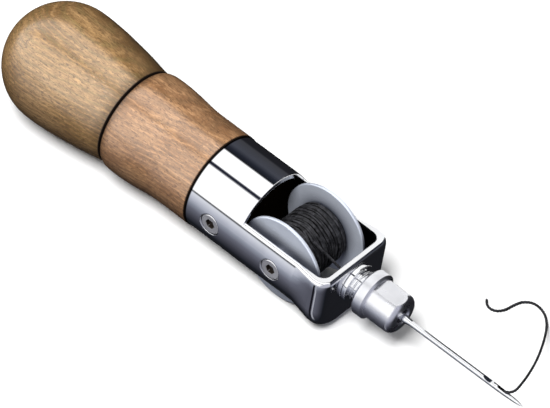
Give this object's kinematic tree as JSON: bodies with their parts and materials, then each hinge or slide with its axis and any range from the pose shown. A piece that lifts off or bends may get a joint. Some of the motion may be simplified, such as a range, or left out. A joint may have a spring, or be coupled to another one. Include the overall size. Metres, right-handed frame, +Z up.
{
  "type": "sewing awl",
  "caption": "Hand sewing awl: hollow turned wooden handle, chromed bobbin housing, threaded bobbin, needle chuck and eyed needle with waxed thread.",
  "frame": {"origin": "centre of the footprint of the awl without its free thread, on the table that it lies on", "axes": "+X from the knob to the needle, +Y to the awl's left along the bobbin's axle, +Z up out of the bobbin's window. The tool's own axis points 2.46 degrees down from +X, as the awl lies"},
  "size_m": [0.16, 0.0504, 0.0313],
  "materials": {
    "knob_wood": "satin varnished beech",
    "barrel_wood": "satin varnished beech",
    "housing_chrome": "mirror",
    "screw_steel": "turned",
    "bobbin_aluminium": "satin anodised",
    "thread_black": "waxed",
    "chuck_nickel": "satin nickel plate",
    "needle_steel": "polished",
    "insert_brass": "machined",
    "key_steel": "black oxide",
    "spacer_plastic": "matte"
  },
  "bodies": {
    "handle": {"handle_barrel": "barrel_wood", "barrel_bush": "insert_brass", "housing": "housing_chrome", "ferrule_screws": "screw_steel", "bobbin_spacers": "spacer_plastic", "needle_post": "housing_chrome", "needle": "needle_steel", "thread_run": "thread_black", "thread_tail": "thread_black", "spare_needle": "needle_steel", "curved_needle": "needle_steel", "hex_key": "key_steel"},
    "plug": {"knob_plug": "insert_brass"},
    "knob": {"handle_knob": "knob_wood"},
    "bobbin": {"bobbin_core": "bobbin_aluminium", "bobbin_flange_left": "bobbin_aluminium", "bobbin_flange_right": "bobbin_aluminium", "thread_winding": "thread_black"},
    "axle": {"axle_screw": "screw_steel"},
    "collet": {"needle_collet": "needle_steel"},
    "nut": {"chuck_nut": "chuck_nickel"}
  },
  "joints": [
    {"name": "knob_travel", "type": "slide", "parent": "handle", "child": "plug", "axis": [-0.9991, 0, 0.0429], "range_m": [0, 0.01]},
    {"name": "knob_turn", "type": "hinge", "parent": "plug", "child": "knob", "pos_m": [-0.05349, 0, 0.01519], "axis": [-0.9991, 0, 0.0429], "range_deg": [0, 1810]},
    {"name": "bobbin_spin", "type": "hinge", "parent": "handle", "child": "bobbin", "pos_m": [0.01305, 0, 0.01234], "axis": [0, 1, 0], "continuous": true},
    {"name": "axle_withdraw", "type": "slide", "parent": "handle", "child": "axle", "axis": [0, -1, 0], "range_m": [0, 0.026]},
    {"name": "nut_travel", "type": "slide", "parent": "handle", "child": "collet", "axis": [0.9991, 0, -0.0429], "range_m": [0, 0.006]},
    {"name": "nut_turn", "type": "hinge", "parent": "collet", "child": "nut", "pos_m": [0.03642, 0, 0.01133], "axis": [0.9991, 0, -0.0429], "range_deg": [0, 2890]}
  ],
  "couplings": [
    {"joint": "knob_turn", "follows": "knob_travel", "rad_per_m": 3141.6},
    {"joint": "nut_turn", "follows": "nut_travel", "rad_per_m": 8377.6}
  ]
}
